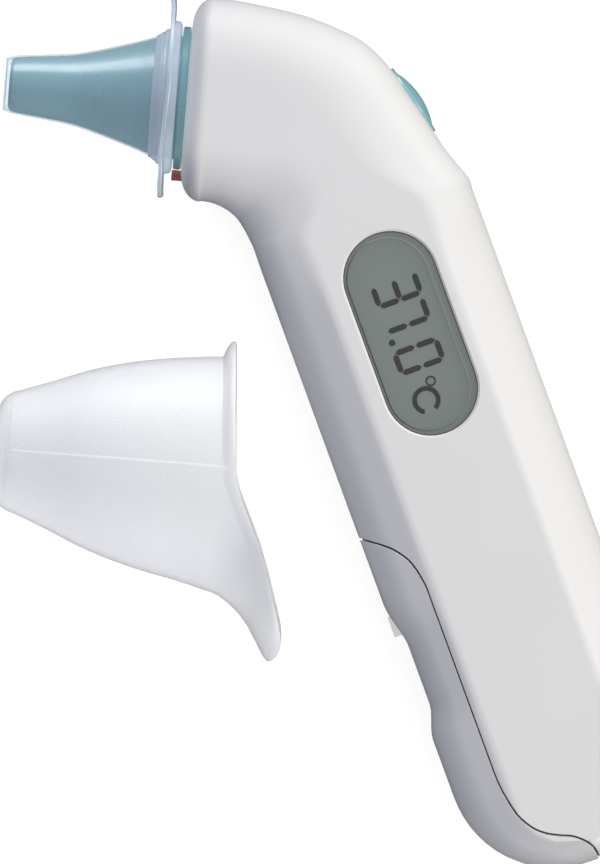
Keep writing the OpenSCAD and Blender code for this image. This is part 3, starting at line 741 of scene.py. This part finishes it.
def build_battery_cover():
    cover = handle_plug("battery_cover_panel", 0, COVER_FROM)
    cut(cover, hollow_tool())
    cut(cover, seam_prism(0), "INTERSECT")
    (outside, inside), (low, high) = LATCH_SLOT["x"], LATCH_SLOT["y"]
    corners = ((outside, low), (inside, low), (inside, high), (outside, high))
    slot = [tuple(handle_xy(x, y)) for x, y in corners]
    cut(cover, prism("slot_tool", slot, MID_Z - LATCH_SLOT["half"], MID_Z + LATCH_SLOT["half"]))
    clean(cover)
    bevel(cover, 0.12)
    dress(cover, "white_abs", "cover", "battery_cover")


def ring_piece(name, sections):
    """A closed ring whose section is a list of (outline, height)."""
    n = len(sections[0][0])
    points = [(*p, z) for outline, z in sections for p in outline]
    faces = []
    for k in range(len(sections)):
        here, there = k * n, (k + 1) % len(sections) * n
        for i in range(n):
            beside = (i + 1) % n
            faces.append((here + i, here + beside, there + beside, there + i))
    obj = new_object(name, points, faces)
    clean(obj)
    return obj


def build_pane():
    pane = prism("window_pane", window_outline(0.17), PANE_LOW, BODY_THICK - PANE_SUNK)
    bevel(pane, 0.08)
    dress(pane, "clear_window", "housing", "display_window")


def build_rim():
    """Edge of the dial under the pane, with a raised bead along its opening."""
    step = handle_xy(-RIM_SHIFT, 0)

    def opening(wider):
        return [(x + step[0], y + step[1]) for x, y in window_outline(RIM_WIDTH - wider)]

    outer = window_outline(0.05)
    top = RIM_TOP + BEAD_RISE
    bead = [(opening(0.3), RIM_TOP), (opening(0.08), top), (opening(0), top), (opening(0), RIM_LOW)]
    rim = ring_piece("window_rim", [(outer, RIM_LOW), (outer, RIM_TOP)] + bead)
    dress(rim, "lcd_glass", "housing")


def build_window_shade_ring():
    """Dark ring between the pane and the housing, painted shade of the window hole's wall."""
    low, high = SHADE_RING_Z
    wide, narrow = window_outline(0.01), window_outline(0.16)
    shade_ring = ring_piece("window_painted_shade_ring", [(wide, low), (wide, high), (narrow, high), (narrow, low)])
    dress(shade_ring, "black_plastic", "housing", material=PAINTED_WINDOW_SHADE)


def build_button():
    r, rise = BUTTON_R, BUTTON_RISE
    ball = (r * r + rise * rise) / (2 * rise)
    top = math.degrees(math.asin(r / ball))
    angles = [math.radians(a) for a in np.linspace(0.86 * top, 0.2, 16)]
    dome = [(ball * math.sin(a), rise - ball + ball * math.cos(a)) for a in angles]
    rounding = [(r, -0.9), (r, 0.3), (r - 0.06, 0.42), (r - 0.2, 0.48), (r - 0.38, 0.48)]
    profile = [(0.01, -4.4), (r + 1, -4.4), (r + 1, -3.4), (r, -3.4)] + rounding + dome + [(0.01, rise)]
    button = lathe("start_button_cap", profile, BUTTON)
    dress(button, "teal_button", "button", "start_button")


def sleeve_r(z):
    """Outer radius of the probe cover at a height above the nose face."""
    return curve(SLEEVE, PROBE_REACH - z)


def build_probe():
    tip = PROBE_REACH - NOZZLE_SHORT
    cone = [(sleeve_r(z) - NOZZLE_GAP, z) for z in np.linspace(1.3, tip - 0.5, 30)]
    nose = [(sleeve_r(tip) - 0.55, tip - 0.15), (sleeve_r(tip) - 1.1, tip)]
    ring = [(10.7, 0.1), (10.9, 0.3), (10.9, 1.1), (10.7, 1.3)]
    back = [(2.6, -2.3), (6.1, -2.3), (6.1, -4.3), (10.3, -4.3), (10.3, -2.4), (8.9, -2.4), (8.9, 0.1)]
    bore = [(3.05, tip), (3.05, tip - 0.45), (2.6, tip - 0.45)]
    nozzle = lathe("probe_nozzle_body", back + ring + cone + nose + bore, PROBE)
    dress(nozzle, "teal_plastic", "housing", "probe_nozzle")


def flange_wave(a, r):
    """How far the probe cover's flange is bent at an angle and a radius."""
    out = max(0.0, (r - FLANGE_FLAT_R) / FLANGE_WIDTH)
    return out * sum(h * math.sin(n * a + start) for h, n, start in FLANGE_WAVES)


def build_cover_flange():
    hub = [(10.7, 1.5), (11.1, 1.52), (11.5, 1.7), (11.65, 2.2), (FLANGE_FLAT_R, 2.6)]
    edge = [(15.0, 2.72), (15.3, 2.68), (15.4, 2.85), (15.35, 3.2), (15.2, 3.3), (15.0, 3.22), (11.4, 3.15)]
    step = [(10.6, 3.2), (10.3, 3.5), (10.2, 3.9), (9.85, 4.1), (9.7, 4.5), (9.45, 4.7), (9.3, 5.1)]
    inside = [(9.1, 5.3), (9.0, 5.1), (9.6, 1.5)]
    flange = lathe("probe_cover_flange", hub + edge + step + inside, PROBE, 180, flange_wave)
    dress(flange, "clear_film", "lens_cover", material=MILKY_FILM)


def build_cover_sleeve():
    tip = PROBE_REACH
    outer = [(sleeve_r(z), z) for z in np.linspace(5.4, tip - 2.2, 26)]
    outer += [(sleeve_r(tip - 1.9) + 0.05, tip - 1.85), (sleeve_r(tip - 1.6), tip - 1.6)]
    outer += [(sleeve_r(tip - 0.8), tip - 0.8), (4.1, tip - 0.35), (3.95, tip - 0.12), (3.75, tip - 0.03)]
    inner = [(3.75, tip - 0.2)] + [(r - FILM_WALL, z) for r, z in outer[-3::-1]]
    cover = lathe("probe_cover_sleeve", outer + inner, PROBE, 180)
    dress(cover, "clear_film", "lens_cover", "probe_cover")


CAP_PLACE = (
    Matrix.Translation(CAP_AT) @ Matrix.Rotation(math.radians(180 - PROBE_TILT), 4, "Z")
    @ Matrix.Rotation(math.radians(90), 4, "Y")
)


def rim_z(a):
    """Height of the cap's rim: low at the tongue, with a notch in the tongue's middle."""
    c = math.cos(a)
    if c >= 0:
        return 1.4 * c
    off = 180 - math.degrees(a)
    return -10.2 * (-c) ** 1.5 + 3.2 * math.exp(-((off / 14) ** 2))


def cap_radius(z, a):
    tongue = max(0.0, -math.cos(a)) ** 2
    return curve(FUNNEL, z) + tongue * curve(FLARE, z)


def mould_angle(a):
    """Angle to the nearer of the cap's two mould lines, at a quarter turn and three quarters."""
    return min(abs(a - math.pi / 2), abs(a - 1.5 * math.pi))


def cap_angles():
    """Angles of the cap's columns, which crowd around the two mould lines."""
    near = [-2.6, -1.9, -1.4, -1.0, -0.6, 0.0, 0.6, 1.0, 1.4, 1.9, 2.6]
    angles = [math.radians(x) for x in np.arange(0, 360, 4)]
    angles = [a for a in angles if mould_angle(a) > math.radians(3)]
    angles += [quarter * math.pi / 2 + math.radians(d) for quarter in (1, 3) for d in near]
    return sorted(angles)


def cap_spot(r, z, a):
    """A point of the cap at a radius, a height and an angle from the side away from the tongue."""
    return (r * math.sin(a), -r * math.cos(a), z)


def cap_point(z, a, grow=0.0):
    """A point of the cap's side, moved outwards by grow; the mould lines stand out of the outside."""
    r = cap_radius(z, a) + grow
    if grow >= 0 and MOULD_LINE["start"] < z < MOULD_LINE["end"]:
        off = math.degrees(mould_angle(a)) / MOULD_LINE["degrees"]
        r += MOULD_LINE["out"] * math.exp(-(off**4))
    return cap_spot(r, z, a)


def cap_disc(z, a, drop):
    """A point of the closed end, drop in from the side."""
    return cap_spot(max(CAP_AXIS_R, cap_radius(z, a) - drop), z, a)


def cap_rings(angles):
    """The cap's rings: over the closed end, down the outside, around the lip and up the inside."""
    end = CAP_LEN
    inner_end = end - CAP_WALL
    rings = [[cap_disc(end - down, a, drop) for a in angles] for drop, down in CAP_END]
    # A fine raised ring where the side begins
    rings.append([cap_point(end - 1.85, a) for a in angles])
    rings.append([cap_point(end - 2.0, a, CAP_RING) for a in angles])
    for s in np.linspace(0.0, 1.0, 34):
        grow = CAP_RING if s == 0 else 0.0
        rings.append([cap_point(mix(end - 2.3, rim_z(a) + 2.2, s), a, grow) for a in angles])
    for back, share in CAP_LIP:
        rings.append([
            cap_point(rim_z(a) + back, a, share * (max(0.0, LIP_WIDEN * math.cos(a)) + LIP_OUT))
            for a in angles
        ])
    rings.append([cap_point(rim_z(a), a, 0.3 - CAP_WALL) for a in angles])
    rings.append([cap_point(rim_z(a) + 0.12, a, 0.05 - CAP_WALL) for a in angles])
    for s in np.linspace(0.02, 1.0, 30):
        rings.append([cap_point(mix(rim_z(a), inner_end - 1, s), a, -CAP_WALL) for a in angles])
    rings.append([cap_disc(inner_end, a, 3) for a in angles])
    rings.append([cap_spot(CAP_AXIS_R, inner_end, a) for a in angles])
    return rings


def build_cap():
    angles = cap_angles()
    rings = cap_rings(angles)
    rows, cols = len(rings), len(angles)
    faces = grid_faces(rows, cols, wrap=True)
    faces.append(tuple(range(cols)))
    faces.append(tuple(range((rows - 1) * cols, rows * cols)))
    cap = new_object("cap_body", [p for ring in rings for p in ring], faces, CAP_PLACE)
    clean(cap, 50)
    cap.visible_diffuse = False
    dress(cap, "frosted_cap", "cap", "protective_cap")


def finish_cad_nodes():
    """Every CAD node that stays gets its slot's material, and the hard small parts a rounded edge."""
    slots = {s["node"]: s["material_slot"] for s in frame["record"]["subparts"]}
    rounded = {"battery_latch": 0.38, "detector_pin": 0.12}
    for name, obj in frame["nodes"].items():
        obj.data.materials.clear()
        obj.data.materials.append(MATERIALS[slots[name]])
        if name in rounded:
            bevel(obj, rounded[name], segments=4)


# ---- stage, light and camera ----
# The view is in millimetres; the camera, the lights and the floor are in metres
VIEW_CENTRE = (-16.7, -14.9)
VIEW_W = 91.2
CAMERA_AWAY = 2.4
SKY_LOW = 0.09
SKY_HIGH = 0.72
SHADOW_SHARE = 0.12
LIGHT_AWAY = 0.75
LIGHT_AIM = (-0.01, -0.015, 0.015)
LIGHT_SIZE = 0.4
FLOOR_HALF = 1.5
# Name, turn about Z, angle above the floor, power and colour
LOW_LIGHTS = [
    ("side_key", 0, 40, 3.85, (1, 0.95, 0.78)),
    ("low_key", 45, 16, 2.1, (0.95, 0.97, 1)),
    ("end_light", 285, 18, 1.4, (1, 0.98, 0.93)),
]


def build_stage():
    floor = bpy.data.meshes.new("floor")
    half = FLOOR_HALF
    corners = [(-half, -half, 0), (half, -half, 0), (half, half, 0), (-half, half, 0)]
    floor.from_pydata(corners, [], [(0, 1, 2, 3)])
    obj = bpy.data.objects.new("floor", floor)
    bpy.context.scene.collection.objects.link(obj)
    floor.materials.append(plastic(
        "pale_floor", (0.97, 0.97, 0.97), 0.9, grain=0.002, bump=0.02, tint=0.01,
        Emission_Color=(1, 1, 1, 1), Emission_Strength=0.1,
    ))
    obj.visible_diffuse = False
    obj.visible_glossy = False


def area_light(name, at, target, size, power, color=(1, 1, 1)):
    data = bpy.data.lights.new(name, "AREA")
    data.shape = "DISK"
    data.size = size
    data.energy = power
    data.color = color
    obj = bpy.data.objects.new(name, data)
    obj.location = at
    obj.rotation_euler = (Vector(target) - Vector(at)).to_track_quat("-Z", "Y").to_euler()
    bpy.context.scene.collection.objects.link(obj)
    return data


def build_sky():
    """Bright above and dim below, so that surfaces turn darker where they curve down to the floor."""
    world = bpy.data.worlds.new("studio")
    world.use_nodes = True
    tree = world.node_tree
    back = tree.nodes["Background"]
    back.inputs["Color"].default_value = (0.81, 0.845, 1.0, 1)
    where = node(tree, "ShaderNodeTexCoord")
    parts = node(tree, "ShaderNodeSeparateXYZ")
    rise = node(tree, "ShaderNodeMapRange")
    for key, value in (("From Min", -0.1), ("From Max", 0.5), ("To Min", SKY_LOW), ("To Max", SKY_HIGH)):
        rise.inputs[key].default_value = value
    tree.links.new(where.outputs["Generated"], parts.inputs[0])
    tree.links.new(parts.outputs["Z"], rise.inputs["Value"])
    tree.links.new(rise.outputs["Result"], back.inputs["Strength"])
    bpy.context.scene.world = world


def build_lights():
    """Each low light is one part with shadows and one without, so that the shadows stay faint."""
    for name, turn, rise, power, color in LOW_LIGHTS:
        angle = math.radians(rise)
        at = tuple(LIGHT_AWAY * np.array((*(math.cos(angle) * toward(turn)), math.sin(angle))))
        area_light(name, at, LIGHT_AIM, LIGHT_SIZE, SHADOW_SHARE * power, color)
        fill_power = (1 - SHADOW_SHARE) * power
        fill = area_light(name + "_fill", at, LIGHT_AIM, LIGHT_SIZE, fill_power, color)
        fill.use_shadow = False
    head = area_light("head_light", (-0.13, 0.385, 0.1), (-0.03, 0.035, 0.016), 0.22, 0.95)
    head.use_shadow = False


def build_camera():
    data = bpy.data.cameras.new("camera")
    data.lens = 200
    data.sensor_fit = "HORIZONTAL"
    data.sensor_width = data.lens * VIEW_W * MM / (CAMERA_AWAY - MID_Z * MM)
    data.clip_end = 20
    obj = bpy.data.objects.new("camera", data)
    obj.location = (VIEW_CENTRE[0] * MM, VIEW_CENTRE[1] * MM, CAMERA_AWAY)
    bpy.context.scene.collection.objects.link(obj)
    bpy.context.scene.camera = obj


build_camera()
build_shells()
build_battery_cover()
build_seam_shade_strip()
build_pane()
build_rim()
build_window_shade_ring()
build_button()
build_probe()
build_cover_flange()
build_cover_sleeve()
build_cap()
finish_cad_nodes()
build_stage()
build_sky()
build_lights()
bpy.context.scene.view_settings.view_transform = "Standard"
